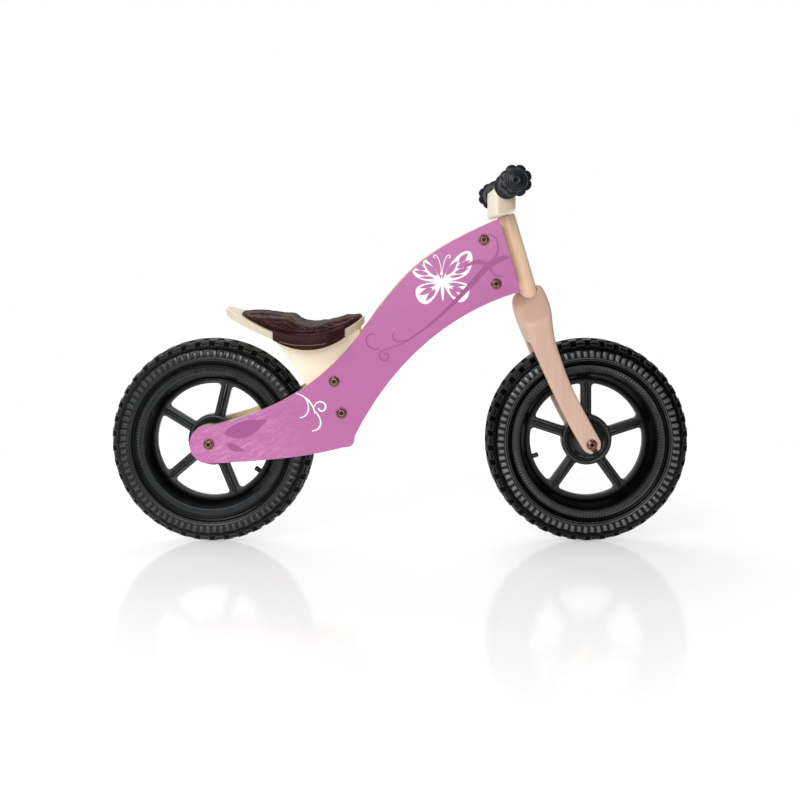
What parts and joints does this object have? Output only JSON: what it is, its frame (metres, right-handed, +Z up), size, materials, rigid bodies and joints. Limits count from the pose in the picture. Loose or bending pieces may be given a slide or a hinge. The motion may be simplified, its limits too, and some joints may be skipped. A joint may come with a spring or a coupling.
{
  "type": "balance bike",
  "caption": "Wooden child's balance bike with curved plywood side panels, steered wooden fork, spoked wheels with air tyres, sliding padded seat and rubber grips.",
  "frame": {"origin": "on the ground, midway between the two axles, in the bike's middle plane", "axes": "+X forwards along the bike, +Y to the rider's left, +Z up"},
  "size_m": [0.86, 0.36, 0.5472],
  "materials": {
    "pink_lacquer": "satin lacquer on plywood",
    "pale_wood": "clear-lacquered birch plywood",
    "fork_wood": "clear-lacquered beech",
    "tube_wood": "glossy lacquered round wood",
    "nylon": "matte",
    "bronze": "antique bronze plate",
    "zinc": "zinc plate",
    "black_paint": "satin powder coat",
    "grip_rubber": "matte",
    "leather": "soft grained leather",
    "tyre_rubber": "matte",
    "tube_rubber": "matte",
    "rim_plastic": "satin moulded"
  },
  "bodies": {
    "frame": {"panel_right": "pink_lacquer", "panel_left": "pink_lacquer", "head_block": "pale_wood", "head_tube": "tube_wood", "head_bushes": "nylon", "head_bolts": "bronze", "head_nuts": "bronze", "seat_bolts": "bronze", "seat_nuts": "bronze", "rear_axle_bolt": "bronze", "rear_axle_nut": "bronze", "rear_axle_sleeve": "zinc", "rear_axle_spacers": "zinc"},
    "steering": {"steering_rod": "zinc", "rod_nuts": "zinc", "handle_block": "pale_wood", "handlebar": "black_paint", "handlebar_screws": "bronze", "grip_right": "grip_rubber", "grip_left": "grip_rubber", "fork_crown": "fork_wood", "fork_leg_right": "fork_wood", "fork_leg_left": "fork_wood", "front_axle_bolt": "bronze", "front_axle_nut": "bronze", "front_axle_sleeve": "zinc", "front_axle_spacers": "zinc"},
    "seat": {"seat_cheek_right": "pale_wood", "seat_cheek_left": "pale_wood", "seat_block": "pale_wood", "seat_board": "pale_wood", "seat_cushion": "leather", "seat_screws": "zinc"},
    "front_wheel": {"front_tyre": "tyre_rubber", "front_inner_tube": "tube_rubber", "front_rim": "rim_plastic", "front_spokes": "rim_plastic", "front_hub": "rim_plastic", "front_bearings": "zinc", "front_valve": "tube_rubber", "front_valve_cap": "rim_plastic"},
    "rear_wheel": {"rear_tyre": "tyre_rubber", "rear_inner_tube": "tube_rubber", "rear_rim": "rim_plastic", "rear_spokes": "rim_plastic", "rear_hub": "rim_plastic", "rear_bearings": "zinc", "rear_valve": "tube_rubber", "rear_valve_cap": "rim_plastic"}
  },
  "joints": [
    {"name": "steering_turn", "type": "hinge", "parent": "frame", "child": "steering", "pos_m": [0.25835, 0, 0.14557], "axis": [-0.2823, 0, 0.9593], "range_deg": [-45, 45]},
    {"name": "front_wheel_spin", "type": "hinge", "parent": "steering", "child": "front_wheel", "pos_m": [0.2785, 0, 0.1515], "axis": [0, 1, 0], "continuous": true},
    {"name": "rear_wheel_spin", "type": "hinge", "parent": "frame", "child": "rear_wheel", "pos_m": [-0.2785, 0, 0.1515], "axis": [0, 1, 0], "continuous": true},
    {"name": "seat_height", "type": "slide", "parent": "frame", "child": "seat", "axis": [-0.2267, 0, 0.974], "range_m": [0, 0.03]}
  ]
}
